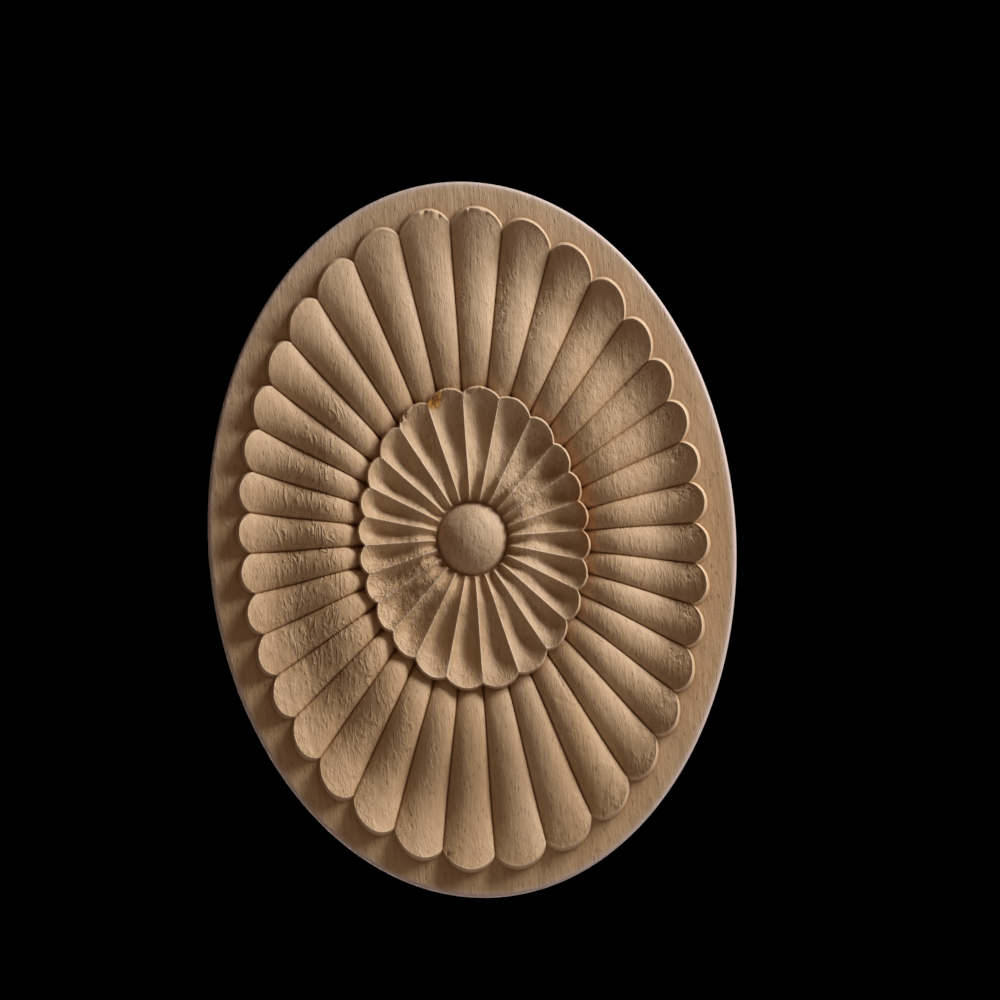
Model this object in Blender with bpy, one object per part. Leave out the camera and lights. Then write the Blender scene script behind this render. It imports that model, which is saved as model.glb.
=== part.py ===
"""Carved wooden applique: an oval rosette cut from one board, Blender 4.5, in metres.

The back lies flat in the plane y = 0, with the origin at its centre. The carved face looks along -Y, +Z runs
along the oval's long axis and +X to the viewer's right. Driving sizes are in millimetres, and carved heights are
measured forward from the face of the plain border.
"""

import math

import bmesh
import bpy

MM = 0.001

# Plate: half width and half height of the oval, and its edge.
PLATE = (69.85, 95.0)
BORDER_THICKNESS = 9.0
EDGE_ROUND_WIDTH = 1.1
EDGE_ROUND_DEPTH = 0.9

# The petals' lines run to the centre at even turns, on a pattern drawn in a little across its width.
PATTERN_SQUEEZE = 0.956

# Outer ring of rounded petals: foot of the cut wall on the border, and its upper edge a little further in.
PETALS = 36
PETAL_TIPS_FOOT = (63.0, 88.9)
PETAL_NOTCHES_FOOT = (59.9, 84.8)
WALL_RUN = 1.15
LOWEST_PETAL_EDGE = 0.12

# A petal's section: its drop for each unit of width, the power that shapes it (2 is round, more is flatter on
# top), and how much flatter it gets from a place along the petal to its tip.
PETAL_SAG = 0.17
PETAL_POWER = 2.2
TIP_FLATTENING = 0.43
TIP_FLATTENING_FROM = 0.72

# Height of a petal's middle line, from the inner rosette's foot (0) to the tip (1).
PETAL_LINE = ((0.0, 0.4), (0.25, 2.85), (0.66, 0.8), (1.0, 3.7))
PETAL_LINE_INSIDE_SLOPE = 6.0

# Inner rosette of scooped flutes: foot of its wall, its raised rim and the notches between its tips.
FLUTES = 24
RIM_TIPS_FOOT = (31.0, 40.7)
RIM_NOTCHES_FOOT = (29.4, 39.1)
RIM_RUN = 0.7

# Heights from the button's edge (0) to the rim (1): the floor of a flute, and the ridge between two flutes.
# The power shapes the scoop between them.
FLUTE_FLOOR = ((0.0, -1.4), (0.23, 0.5), (0.68, -1.25), (1.0, 2.55))
FLUTE_RIDGE = ((0.0, -0.8), (0.21, 1.7), (0.48, 1.03), (0.74, 1.07), (1.0, 2.55))
SCOOP_POWER = 1.65

# Domed button in the middle, and the narrow groove around it.
BUTTON = (9.3, 9.7)
BUTTON_TOP = 3.1
BUTTON_DOME_RADIUS = 11.6
GROOVE_WIDTH = 0.75

# How finely each part of the face is divided.
SIDES_PER_PETAL = 8
SIDES_PER_FLUTE = 6
SIDES_PER_FLUTE_AT_BUTTON = 2
PLATE_SIDES = 144
PETAL_STATIONS = (1.0, 0.90, 0.78, 0.65, 0.50, 0.36, 0.24, 0.11, 0.0)
FLUTE_STATIONS = (1.0, 0.86, 0.72, 0.59, 0.46, 0.33, 0.20, 0.0)
BUTTON_STATIONS = (1.0, 0.86, 0.66, 0.42, 0.20)

WOOD_COLOUR = (0.43, 0.30, 0.175, 1.0)
WOOD_ROUGHNESS = 0.62
SHARP_EDGE_ANGLE = math.radians(38)


def direction(angle):
    """Unit vector (x, z) of a line of the pattern; the angle runs clockwise from the top."""
    x = PATTERN_SQUEEZE * math.sin(angle)
    z = math.cos(angle)
    length = math.hypot(x, z)
    return x / length, z / length


def oval_radius(half_axes, angle):
    """Distance from the centre to an oval along a line of the pattern."""
    x, z = direction(angle)
    return 1.0 / math.hypot(x / half_axes[0], z / half_axes[1])


def inset(half_axes, distance):
    """A smaller oval, a given distance inside another."""
    return half_axes[0] - distance, half_axes[1] - distance


def across(angle, count):
    """Place across a petal or flute: -0.5 and 0.5 at its two notches, 0 on its middle line."""
    turns = angle * count / math.tau
    return turns - math.floor(turns + 1e-9) - 0.5


def pitch(radius, angle, count):
    """Width of one petal or flute at this distance from the centre."""
    spread = PATTERN_SQUEEZE / (math.cos(angle) ** 2 + (PATTERN_SQUEEZE * math.sin(angle)) ** 2)
    return radius * spread * math.tau / count


def arc_sag(width, depth, place):
    """Drop of a circular arc at a place across it, for an arc that drops by depth at its two ends."""
    radius = (width**2 / 4 + depth**2) / (2 * depth)
    return radius - math.sqrt(max(radius**2 - (width * place) ** 2, 0.0))


def curve(stations, place):
    """Height on a smooth line through (place, height) stations, with a plain bend in its two end stretches."""
    slopes = []
    for (x0, y0), (x1, y1), (x2, y2) in zip(stations, stations[1:], stations[2:]):
        before, after = (y1 - y0) / (x1 - x0), (y2 - y1) / (x2 - x1)
        slopes.append((before * (x2 - x1) + after * (x1 - x0)) / (x2 - x0) if before * after > 0 else 0.0)
    (x0, y0), (x1, y1) = stations[:2]
    slopes.insert(0, 2 * (y1 - y0) / (x1 - x0) - slopes[0])
    (x0, y0), (x1, y1) = stations[-2:]
    slopes.append(2 * (y1 - y0) / (x1 - x0) - slopes[-1])
    span = 0
    while span < len(stations) - 2 and place > stations[span + 1][0]:
        span += 1
    (x0, y0), (x1, y1) = stations[span : span + 2]
    step = x1 - x0
    t = (place - x0) / step
    return (
        y0 * (1 + 2 * t) * (1 - t) ** 2
        + slopes[span] * step * t * (1 - t) ** 2
        + y1 * t * t * (3 - 2 * t)
        + slopes[span + 1] * step * t * t * (t - 1)
    )


def scallop_radius(angle, count, tips, notches):
    """Distance from the centre to a ring of round tips, each an arc from notch to notch."""
    tip, notch = oval_radius(tips, angle), oval_radius(notches, angle)
    return tip - arc_sag(pitch(notch, angle, count), tip - notch, across(angle, count))


def petal_height(radius, angle):
    """Height of the outer ring: a rounded petal, dished along its length, with sharp grooves beside it."""
    inner = oval_radius(RIM_TIPS_FOOT, angle)
    outer = oval_radius(inset(PETAL_TIPS_FOOT, WALL_RUN), angle)
    along = (radius - inner) / (outer - inner)
    middle = curve(PETAL_LINE, max(along, 0.0)) + PETAL_LINE_INSIDE_SLOPE * min(along, 0.0)
    width = pitch(radius, angle, PETALS)
    flattening = min(max((along - TIP_FLATTENING_FROM) / (1 - TIP_FLATTENING_FROM), 0.0), 1.0)
    depth = PETAL_SAG * width * (1 - TIP_FLATTENING * flattening)
    return middle - depth * abs(2 * across(angle, PETALS)) ** PETAL_POWER


def flute_height(radius, angle):
    """Height of the inner rosette: a scoop that rises to the rim, with sharp ridges beside it."""
    button = oval_radius(BUTTON, angle)
    rim = oval_radius(inset(RIM_TIPS_FOOT, RIM_RUN), angle)
    along = (radius - button) / (rim - button)
    floor, ridge = curve(FLUTE_FLOOR, along), curve(FLUTE_RIDGE, along)
    return floor + max(ridge - floor, 0.0) * abs(2 * across(angle, FLUTES)) ** SCOOP_POWER


def button_height(share):
    """Height of the dome, at a share of the way from its middle to its edge."""
    return BUTTON_TOP - BUTTON_DOME_RADIUS + math.sqrt(BUTTON_DOME_RADIUS**2 - (share * BUTTON[0]) ** 2)


def ring(mesh, sides, radius_at, height_at):
    """Vertices once round the centre; height_at gets the radius and the angle."""
    points = []
    for step in range(sides):
        angle = math.tau * step / sides
        radius = radius_at(angle)
        x, z = direction(angle)
        y = -(BORDER_THICKNESS + height_at(radius, angle))
        points.append(mesh.verts.new((radius * x * MM, y * MM, radius * z * MM)))
    return points


def petal_foot(angle):
    return scallop_radius(angle, PETALS, PETAL_TIPS_FOOT, PETAL_NOTCHES_FOOT)


def petal_edge(angle):
    tips, notches = inset(PETAL_TIPS_FOOT, WALL_RUN), inset(PETAL_NOTCHES_FOOT, WALL_RUN)
    return scallop_radius(angle, PETALS, tips, notches)


def rim_foot(angle):
    return scallop_radius(angle, FLUTES, RIM_TIPS_FOOT, RIM_NOTCHES_FOOT)


def rim_edge(angle):
    tips, notches = inset(RIM_TIPS_FOOT, RIM_RUN), inset(RIM_NOTCHES_FOOT, RIM_RUN)
    return scallop_radius(angle, FLUTES, tips, notches)


def flute_foot(angle):
    return oval_radius(BUTTON, angle) + GROOVE_WIDTH


def between(inner_at, outer_at, share):
    """Radius at a share of the way from one outline to another."""
    return lambda angle: inner_at(angle) + share * (outer_at(angle) - inner_at(angle))


def plate_rings(mesh):
    """The back edge, the upright edge and its rounded corner."""
    level = {
        "back": (PLATE, -BORDER_THICKNESS),
        "side": (PLATE, -EDGE_ROUND_DEPTH),
        "bevel": (inset(PLATE, 0.3 * EDGE_ROUND_WIDTH), -0.3 * EDGE_ROUND_DEPTH),
        "front": (inset(PLATE, EDGE_ROUND_WIDTH), 0.0),
    }
    return [
        ring(mesh, PLATE_SIDES, lambda angle, axes=axes: oval_radius(axes, angle), lambda r, a, h=height: h)
        for axes, height in level.values()
    ]


def petal_rings(mesh):
    """The foot of the outer wall, its upper edge, and the petals in to the rosette's foot."""
    sides = PETALS * SIDES_PER_PETAL
    rings = [ring(mesh, sides, petal_foot, lambda radius, angle: 0.0)]
    for share in PETAL_STATIONS:
        lowest = LOWEST_PETAL_EDGE if share == 1.0 else -BORDER_THICKNESS
        rings.append(
            ring(
                mesh,
                sides,
                between(rim_foot, petal_edge, share),
                lambda radius, angle, lowest=lowest: max(petal_height(radius, angle), lowest),
            )
        )
    return rings


def flute_rings(mesh):
    """The rosette's rim and its flutes, in to the groove."""
    rings = [ring(mesh, PETALS * SIDES_PER_PETAL, rim_edge, flute_height)]
    for share in FLUTE_STATIONS[1:]:
        rings.append(ring(mesh, FLUTES * SIDES_PER_FLUTE, between(flute_foot, rim_edge, share), flute_height))
    return rings


def button_rings(mesh):
    """The dome, from the bottom of the groove to near its top."""
    sides = FLUTES * SIDES_PER_FLUTE_AT_BUTTON
    return [
        ring(
            mesh,
            sides,
            lambda angle, share=share: share * oval_radius(BUTTON, angle),
            lambda radius, angle, share=share: button_height(share),
        )
        for share in BUTTON_STATIONS
    ]


def skin(mesh, outer, inner):
    """Faces between two rings; one ring may have a whole number of times as many sides as the other."""
    coarse, fine, turned = (outer, inner, False) if len(outer) <= len(inner) else (inner, outer, True)
    ratio = len(fine) // len(coarse)
    for side in range(len(coarse)):
        start, end = coarse[side], coarse[(side + 1) % len(coarse)]
        run = [fine[(side * ratio + step) % len(fine)] for step in range(ratio + 1)]
        middle = (ratio + 1) // 2
        if ratio == 1:
            faces = [(start, run[0], run[1], end)]
        else:
            faces = [(start, run[step], run[step + 1]) for step in range(middle)]
            faces.append((start, run[middle], end))
            faces += [(end, run[step], run[step + 1]) for step in range(middle, ratio)]
        for corners in faces:
            mesh.faces.new(corners if turned else corners[::-1])


def wood():
    """Pale, bare beech-like wood."""
    material = bpy.data.materials.new("pale_wood")
    material.use_nodes = True
    shader = material.node_tree.nodes["Principled BSDF"]
    shader.inputs["Base Color"].default_value = WOOD_COLOUR
    shader.inputs["Roughness"].default_value = WOOD_ROUGHNESS
    shader.inputs["Metallic"].default_value = 0.0
    material.diffuse_color = WOOD_COLOUR
    return material


def oval_rosette():
    """The whole carved piece, as one closed body."""
    mesh = bmesh.new()
    rings = plate_rings(mesh) + petal_rings(mesh) + flute_rings(mesh) + button_rings(mesh)
    for outer, inner in zip(rings, rings[1:]):
        skin(mesh, outer, inner)
    mesh.faces.new(rings[0])
    top = mesh.verts.new((0.0, -(BORDER_THICKNESS + BUTTON_TOP) * MM, 0.0))
    last = rings[-1]
    for here, after in zip(last, last[1:] + last[:1]):
        mesh.faces.new((top, after, here))
    bmesh.ops.recalc_face_normals(mesh, faces=mesh.faces)
    data = bpy.data.meshes.new("oval_rosette")
    mesh.to_mesh(data)
    mesh.free()
    data.shade_smooth()
    data.set_sharp_from_angle(angle=SHARP_EDGE_ANGLE)
    data.materials.append(wood())
    rosette = bpy.data.objects.new("oval_rosette", data)
    bpy.context.scene.collection.objects.link(rosette)
    return rosette


def main():
    for existing in list(bpy.data.objects):
        bpy.data.objects.remove(existing, do_unlink=True)
    oval_rosette()


main()
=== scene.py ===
import math

import bmesh
import bpy
from mathutils import Matrix, Vector, noise


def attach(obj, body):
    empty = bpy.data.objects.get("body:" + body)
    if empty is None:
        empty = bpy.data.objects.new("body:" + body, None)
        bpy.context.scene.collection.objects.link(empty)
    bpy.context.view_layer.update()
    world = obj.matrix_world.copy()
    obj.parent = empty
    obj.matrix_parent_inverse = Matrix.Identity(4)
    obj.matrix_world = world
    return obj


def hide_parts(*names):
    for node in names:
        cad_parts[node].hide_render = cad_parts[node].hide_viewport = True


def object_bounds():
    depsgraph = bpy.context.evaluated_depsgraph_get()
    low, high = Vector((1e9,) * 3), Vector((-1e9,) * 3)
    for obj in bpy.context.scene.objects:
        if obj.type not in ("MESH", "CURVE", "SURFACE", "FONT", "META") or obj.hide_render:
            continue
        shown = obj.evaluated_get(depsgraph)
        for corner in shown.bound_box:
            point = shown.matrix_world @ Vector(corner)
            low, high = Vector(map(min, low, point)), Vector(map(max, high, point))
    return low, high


bl_info = {
    "name": "Carved oval rosette",
    "version": (1, 0, 0),
    "blender": (4, 5, 0),
    "location": "3D View > Sidebar > Rosette",
    "description": "Finely carved beech rosette around its packed frame, with its floor, light and camera",
    "category": "Object",
}

MM = 0.001

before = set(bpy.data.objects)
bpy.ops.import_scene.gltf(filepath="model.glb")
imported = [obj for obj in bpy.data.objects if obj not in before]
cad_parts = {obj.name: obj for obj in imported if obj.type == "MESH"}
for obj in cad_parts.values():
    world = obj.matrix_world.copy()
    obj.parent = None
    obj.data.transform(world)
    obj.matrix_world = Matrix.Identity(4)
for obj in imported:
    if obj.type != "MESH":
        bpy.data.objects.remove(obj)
CAD_LOW, CAD_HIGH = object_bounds()

# Main forms, in millimetres, close to those in the part's source.
# Heights are measured forward from the border's face.
BORDER_THICKNESS = 9.0
EDGE_ROUND_WIDTH = 1.1
EDGE_ROUND_DEPTH = 0.9
EDGE_ROUND_STEPS = 6
BACK_CHAMFER = 0.3
BORDER_RINGS = (2.2, 3.6)

PATTERN_SQUEEZE = 0.956
FLUTE_SQUEEZE = 0.985
PETALS = 36
PETAL_TIPS_FOOT = (62.9, 88.8)
PETAL_NOTCHES_FOOT = (59.55, 84.45)
WALL_RUN = 1.15
LOWEST_PETAL_EDGE = 0.12
PETAL_SAG = 0.17
PETAL_POWER = 2.2
TIP_FLATTENING = 0.43
TIP_FLATTENING_FROM = 0.72
PETAL_LINE = ((0.0, 0.4), (0.25, 2.85), (0.66, 0.8), (1.0, 3.7))
PETAL_LINE_INSIDE_SLOPE = 6.0

FLUTES = 24
RIM_TIPS_FOOT = (31.0, 40.7)
RIM_NOTCHES_FOOT = (29.3, 39.0)
RIM_RUN = 0.7
FLUTE_FLOOR = ((0.0, -2.1), (0.2, 0.5), (0.25, 0.72), (0.32, 0.45), (0.67, -1.4), (1.0, 2.5))
FLUTE_RIDGE = ((0.0, -0.3), (0.21, 1.8), (0.48, 1.04), (0.74, 1.05), (1.0, 2.5))
SCOOP_POWER = 1.6

BUTTON = (9.4, 9.8)
BUTTON_TOP = 3.1
BUTTON_DOME_RADIUS = 11.6
GROOVE_WIDTH = 0.75

# Finer forms that the part's source leaves out.
V_GROOVE_DEPTH = 0.35
V_GROOVE_HALF_WIDTH = 0.36
GROOVE_END_REACH = 3.2
GROOVE_END_DEEPENING = 2.6
GROOVE_END_WIDENING = 1.5
LOWEST_LINE_SHIFT = 0.08
WALL_PROFILE = ((0.12, 0.05), (0.5, 0.55), (0.8, 0.9), (0.93, 0.98))
RIM_PROFILE = ((0.3, 0.4), (0.75, 0.88))
PETAL_UNEVENNESS = 0.16
OUTLINE_UNEVENNESS = 0.12
PETALS_TO_THE_RIGHT = 0.12
RIM_TO_THE_RIGHT = 0.28
TIP_LIP = 0.2
RIM_LIP = 0.12
LIP_WIDTH = 0.55
CHIP_WIDTH = 1.7

# Chips along the upper edges: place (x, z), how far they reach, and their depth.
CHIPS = (
    (-5.1, 86.6, 5.0, 1.1),
    (6.6, 86.8, 6.0, 1.2),
    (-12.5, -83.0, 3.0, 1.1),
    (-17.0, 36.0, 5.4, 1.3),
    (-6.4, 40.2, 4.6, 1.3),
    (3.5, 40.4, 5.6, 1.5),
)
CHIP_GRAIN = (0.65, 1.8)
RESIN_SPOT = (-7.9, 37.9)
RESIN_SPOT_REACH = 3.0
RESIN_SPOT_SHORTNESS = 0.8

# Slips of the tool, from (x, z) to (x, z): a row down the left petals and a crossed pair low on the right.
SLIPS = (
    (-45.7, 7.7, -44.3, 4.9),
    (-46.0, -0.3, -44.6, -3.0),
    (-46.3, -8.2, -44.4, -11.0),
    (-46.1, -18.0, -44.9, -24.0),
    (-45.9, -28.4, -44.9, -37.5),
    (-46.1, -41.0, -44.7, -44.2),
    (18.1, -43.3, 23.8, -46.3),
    (19.4, -36.9, 22.6, -44.4),
)
SLIP_DEPTH = 0.2
SLIP_HALF_WIDTH = 0.45

# Unevenness of the worked wood: its height in mm, and the width and length of its spots.
SANDING_HEIGHT, SANDING_SPOTS = 0.07, (9.0, 16.0)
CUTTER_HEIGHT, CUTTER_SPOTS = 0.035, (2.2, 4.5)
PECKED_HEIGHT, TORN_HEIGHT, TORN_SPOTS = 0.07, 0.2, (1.2, 1.7)
RAGGED_HEIGHT, RAGGED_SPOTS = 0.09, (0.9, 1.5)

# Fine relief given by the material, in mm.
DASH_SPACING = 1.7
CHATTER_DEPTH = 0.27
PECK_DEPTH = 0.36
TEAR_DEPTH = 0.3
GRIT_DEPTH = 0.045

# How finely the face is divided, and how far the steps are drawn in towards the notches.
PLATE_SIDES = 504
PETAL_SIDES = 1008
FLUTE_SIDES = 504
BUTTON_SIDES = 252
PETAL_RINGS = 56
FLUTE_RINGS = 36
BUTTON_RINGS = 11
NOTCH_CROWDING = 1.35
NEAR_EDGE = (0.25, 0.55)
SHARP_EDGE_ANGLE = math.radians(38)

# Stage: the camera's sensor in millimetres, the floor in metres.
SENSOR_WIDTH = 36.0
FLOOR_SIZE = 6.0
FLOOR_DROP = 0.6

# What each point of the mesh tells its material, from 0 to 1.
# groove carries painted shade, edge wear with a painted highlight, rim a painted rim light, and warm the
# wood's tone with a painted brighter top.
MARKS = ("groove", "edge", "rim", "warm", "burn", "chatter", "peck", "torn", "raised", "resin")


class RosetteSizes(bpy.types.PropertyGroup):
    """Sizes of the carved rosette"""

    half_width: bpy.props.FloatProperty(
        name="Half Width", description="Half the oval's width", default=CAD_HIGH.x, unit="LENGTH"
    )
    half_height: bpy.props.FloatProperty(
        name="Half Height", description="Half the oval's height", default=CAD_HIGH.z, unit="LENGTH"
    )
    border_thickness: bpy.props.FloatProperty(
        name="Border Thickness", description="From the flat back to the border's face",
        default=BORDER_THICKNESS * MM, unit="LENGTH",
    )
    hand_work: bpy.props.FloatProperty(
        name="Hand Work", description="Unevenness left by the tools and by sanding, 1 as carved",
        default=1.0, min=0,
    )


class WoodFinish(bpy.types.PropertyGroup):
    """Colours and texture of the bare wood, with the colours of its painted shade, highlights and rim light
    """

    pale: bpy.props.FloatVectorProperty(
        name="Pale Wood", description="Colour of the paler growth",
        subtype="COLOR", size=4, default=(0.62, 0.44, 0.265, 1.0), min=0, max=1,
    )
    deep: bpy.props.FloatVectorProperty(
        name="Deep Wood", description="Colour of the darker growth",
        subtype="COLOR", size=4, default=(0.50, 0.335, 0.19, 1.0), min=0, max=1,
    )
    fleck: bpy.props.FloatVectorProperty(
        name="Fleck", description="Colour of the short upright flecks",
        subtype="COLOR", size=4, default=(0.27, 0.15, 0.07, 1.0), min=0, max=1,
    )
    # Partly sanding wear and partly a painted highlight on the upper edges, stronger toward the key light.
    worn_lit_edge: bpy.props.FloatVectorProperty(
        name="Worn Lit Edge", description="Colour of the sanded upper edges",
        subtype="COLOR", size=4, default=(0.80, 0.63, 0.46, 1.0), min=0, max=1,
    )
    burnt: bpy.props.FloatVectorProperty(
        name="Cutter Burn", description="Tint where the cutter ran hot",
        subtype="COLOR", size=4, default=(0.55, 0.255, 0.105, 1.0), min=0, max=1,
    )
    # Painted rim light: a lighter grey colour on the plate's rounded outer edge.
    painted_rim_light: bpy.props.FloatVectorProperty(
        name="Painted Rim Light", description="Greyed, lighter colour painted on the plate's outer edge as a rim light",
        subtype="COLOR", size=4, default=(0.66, 0.54, 0.49, 1.0), min=0, max=1,
    )
    # Painted light: the top is made brighter as well as cooler, where the key light falls more strongly.
    cool_lit_tint: bpy.props.FloatVectorProperty(
        name="Cool Lit Tint", description="What the wood's colour is multiplied by at the top",
        subtype="COLOR", size=4, default=(1.06, 1.05, 1.09, 1.0), min=0, max=2,
    )
    warm_tint: bpy.props.FloatVectorProperty(
        name="Warm Tint", description="What it is multiplied by below the middle",
        subtype="COLOR", size=4, default=(1.02, 0.935, 0.835, 1.0), min=0, max=2,
    )
    amber: bpy.props.FloatVectorProperty(
        name="Resin", description="Colour of the small resin spot on the rim where it lies thick",
        subtype="COLOR", size=4, default=(0.27, 0.095, 0.014, 1.0), min=0, max=1,
    )
    thin_amber: bpy.props.FloatVectorProperty(
        name="Thin Resin", description="Colour of the resin where it lies thin",
        subtype="COLOR", size=4, default=(0.60, 0.29, 0.045, 1.0), min=0, max=1,
    )
    # Painted shade: what the colour is multiplied by in the grooves, at the feet of the walls, round the
    # button and in the tips' shadows on the left border.
    shadowed: bpy.props.FloatVectorProperty(
        name="Painted Groove Shade", description="What the colour is multiplied by down in the grooves",
        subtype="COLOR", size=4, default=(0.55, 0.44, 0.34, 1.0), min=0, max=1,
    )
    roughness: bpy.props.FloatProperty(
        name="Roughness", description="Roughness of the bare wood",
        default=0.62, min=0, max=1, subtype="FACTOR",
    )
    texture_depth: bpy.props.FloatProperty(
        name="Texture Depth", description="Depth of the fine tool marks and grain, 1 as carved",
        default=1.0, min=0,
    )


class StageSettings(bpy.types.PropertyGroup):
    """Camera, lamps and floor"""

    camera_distance: bpy.props.FloatProperty(
        name="Camera Distance", description="From the rosette's face to the camera",
        default=1.4, unit="LENGTH",
    )
    camera_left: bpy.props.FloatProperty(
        name="Camera Left", description="How far the camera looks from the left",
        default=math.radians(1.8), subtype="ANGLE",
    )
    camera_below: bpy.props.FloatProperty(
        name="Camera Below", description="How far the camera looks from below",
        default=math.radians(3.4), subtype="ANGLE",
    )
    camera_roll: bpy.props.FloatProperty(
        name="Camera Roll", description="Turn of the camera, which leans the rosette to the left",
        default=math.radians(4.1), subtype="ANGLE",
    )
    frame_width: bpy.props.FloatProperty(
        name="Frame Width", description="Width of the picture, measured at the rosette's face",
        default=0.26476, unit="LENGTH",
    )
    off_centre: bpy.props.FloatVectorProperty(
        name="Off Centre", description="How far right of and above the rosette's centre the camera looks",
        size=2,
        default=(0.0072544, 0.010127), subtype="TRANSLATION", unit="LENGTH",
    )
    key_turn: bpy.props.FloatProperty(
        name="Key Turn", description="Direction of the key light, up from the picture's right",
        default=math.radians(41), subtype="ANGLE",
    )
    key_lift: bpy.props.FloatProperty(
        name="Key Lift", description="Height of the key light, out from the rosette's face",
        default=math.radians(18.5), subtype="ANGLE",
    )
    key_distance: bpy.props.FloatProperty(
        name="Key Distance", description="From the rosette's centre to the key light",
        default=1.1, unit="LENGTH",
    )
    key_width: bpy.props.FloatProperty(
        name="Key Width", description="Width of the key light's panel", default=0.70, unit="LENGTH"
    )
    key_height: bpy.props.FloatProperty(
        name="Key Height", description="Height of the key light's panel", default=0.28, unit="LENGTH"
    )
    key_power: bpy.props.FloatProperty(
        name="Key Power", description="Power of the key light in watts", default=15.1, min=0
    )
    key_colour: bpy.props.FloatVectorProperty(
        name="Key Colour", description="Colour of the key light",
        subtype="COLOR", size=3, default=(0.94, 0.975, 1.0), min=0, max=1,
    )
    back_power: bpy.props.FloatProperty(
        name="Back Power", description="Power of the soft panel behind the rosette in watts",
        default=80.0, min=0,
    )
    back_place: bpy.props.FloatVectorProperty(
        name="Back Place", description="Where the soft panel stands, behind, to the left and low", size=3,
        default=(-0.5, 0.45, -0.5), subtype="TRANSLATION", unit="LENGTH",
    )
    back_size: bpy.props.FloatProperty(
        name="Back Size", description="Side of the soft panel", default=1.6, unit="LENGTH"
    )
    back_colour: bpy.props.FloatVectorProperty(
        name="Back Colour", description="Colour of the soft panel's light",
        subtype="COLOR", size=3, default=(0.84, 0.86, 1.0), min=0, max=1,
    )
    room_colour: bpy.props.FloatVectorProperty(
        name="Room Colour", description="Colour of the room light",
        subtype="COLOR", size=4, default=(1.0, 0.64, 0.40, 1.0), min=0, max=1,
    )
    room_light: bpy.props.FloatProperty(
        name="Room Light", description="Strength of the soft light from all round", default=0.138, min=0
    )
    room_lean: bpy.props.FloatProperty(
        name="Room Lean", description="How much stronger the room light is from the right than from ahead",
        default=0.75, min=0, max=1,
    )


def direction(angle):
    """Unit vector (x, z) of a line of the pattern; the angle runs clockwise from the top."""
    x = PATTERN_SQUEEZE * math.sin(angle)
    z = math.cos(angle)
    length = math.hypot(x, z)
    return x / length, z / length


def oval_radius(half_axes, angle):
    """Distance from the centre to an oval along a line of the pattern."""
    x, z = direction(angle)
    return 1.0 / math.hypot(x / half_axes[0], z / half_axes[1])


def inset(half_axes, distance):
    """The half axes of an oval drawn in by a distance."""
    return half_axes[0] - distance, half_axes[1] - distance


def squeeze(count):
    """How far the petals or the flutes, told apart by their count, are crowded towards the long axis."""
    return FLUTE_SQUEEZE if count == FLUTES else PATTERN_SQUEEZE


def turns(angle, count):
    """How many petals or flutes lie between the top and a line of the pattern."""
    own = math.atan2(math.sin(angle) * PATTERN_SQUEEZE / squeeze(count), math.cos(angle)) % math.tau
    return own * count / math.tau


def across(angle, count):
    """Place across a petal or flute: -0.5 and 0.5 at its two notches, 0 on its middle line."""
    place = turns(angle, count)
    return place - math.floor(place + 1e-9) - 0.5


def pitch(radius, angle, count):
    """Width of one petal or flute at this distance from the centre."""
    spread = squeeze(count) / (math.cos(angle) ** 2 + (squeeze(count) * math.sin(angle)) ** 2)
    return radius * spread * math.tau / count


def arc_sag(width, depth, place):
    """Drop of a circular arc at a place across it, for an arc that drops by depth at its two ends."""
    radius = (width**2 / 4 + depth**2) / (2 * depth)
    return radius - math.sqrt(max(radius**2 - (width * place) ** 2, 0.0))


def line_through(stations):
    """A smooth line through (place, height) stations, as a function of the place."""
    slopes = []
    for (x0, y0), (x1, y1), (x2, y2) in zip(stations, stations[1:], stations[2:]):
        before, after = (y1 - y0) / (x1 - x0), (y2 - y1) / (x2 - x1)
        slopes.append((before * (x2 - x1) + after * (x1 - x0)) / (x2 - x0) if before * after > 0 else 0.0)
    (x0, y0), (x1, y1) = stations[:2]
    slopes.insert(0, 2 * (y1 - y0) / (x1 - x0) - slopes[0])
    (x0, y0), (x1, y1) = stations[-2:]
    slopes.append(2 * (y1 - y0) / (x1 - x0) - slopes[-1])

    def height(place):
        span = 0
        while span < len(stations) - 2 and place > stations[span + 1][0]:
            span += 1
        (x0, y0), (x1, y1) = stations[span : span + 2]
        step = x1 - x0
        t = (place - x0) / step
        return (
            y0 * (1 + 2 * t) * (1 - t) ** 2
            + slopes[span] * step * t * (1 - t) ** 2
            + y1 * t * t * (3 - 2 * t)
            + slopes[span + 1] * step * t * t * (t - 1)
        )

    return height


petal_middle = line_through(PETAL_LINE)
flute_floor = line_through(FLUTE_FLOOR)
flute_ridge = line_through(FLUTE_RIDGE)


def fade(distance, reach):
    """1 at no distance or less, down to 0 at its reach."""
    return min(max(1 - distance / reach, 0.0), 1.0)


def near(angle, middle, reach):
    """1 on a line of the pattern, easing to 0 at a reach on both sides, both in degrees from the top."""
    apart = abs((math.degrees(angle) - middle + 180) % 360 - 180)
    return 0.5 + 0.5 * math.cos(math.pi * min(apart / reach, 1.0))


def lit_side(angle):
    """1 to the upper right, toward the key light, and 0 to the lower left: it sets the lips and the painted
    highlight on the edges.
    """
    return near(angle, 75, 140)


def hump(place, middle, reach):
    """1 at a middle place, down to 0 at a reach on both sides."""
    return fade(abs(place - middle), reach)


def rough(x, z, width, length, variant):
    """Smooth noise from about -1 to 1, with spots this wide and, along the upright grain, this long."""
    return noise.noise(Vector((x / width, z / length, 7.3 * variant)))


def petal_offset(angle):
    """How much higher or lower one petal was left than the next, nothing at the grooves between them."""
    petal = math.floor(turns(angle, PETALS) + 1e-9)
    lift = noise.noise(Vector((petal * 3.7, 0.4, 0.0)))
    return PETAL_UNEVENNESS * lift * (1 - abs(2 * across(angle, PETALS)) ** 4)


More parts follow.
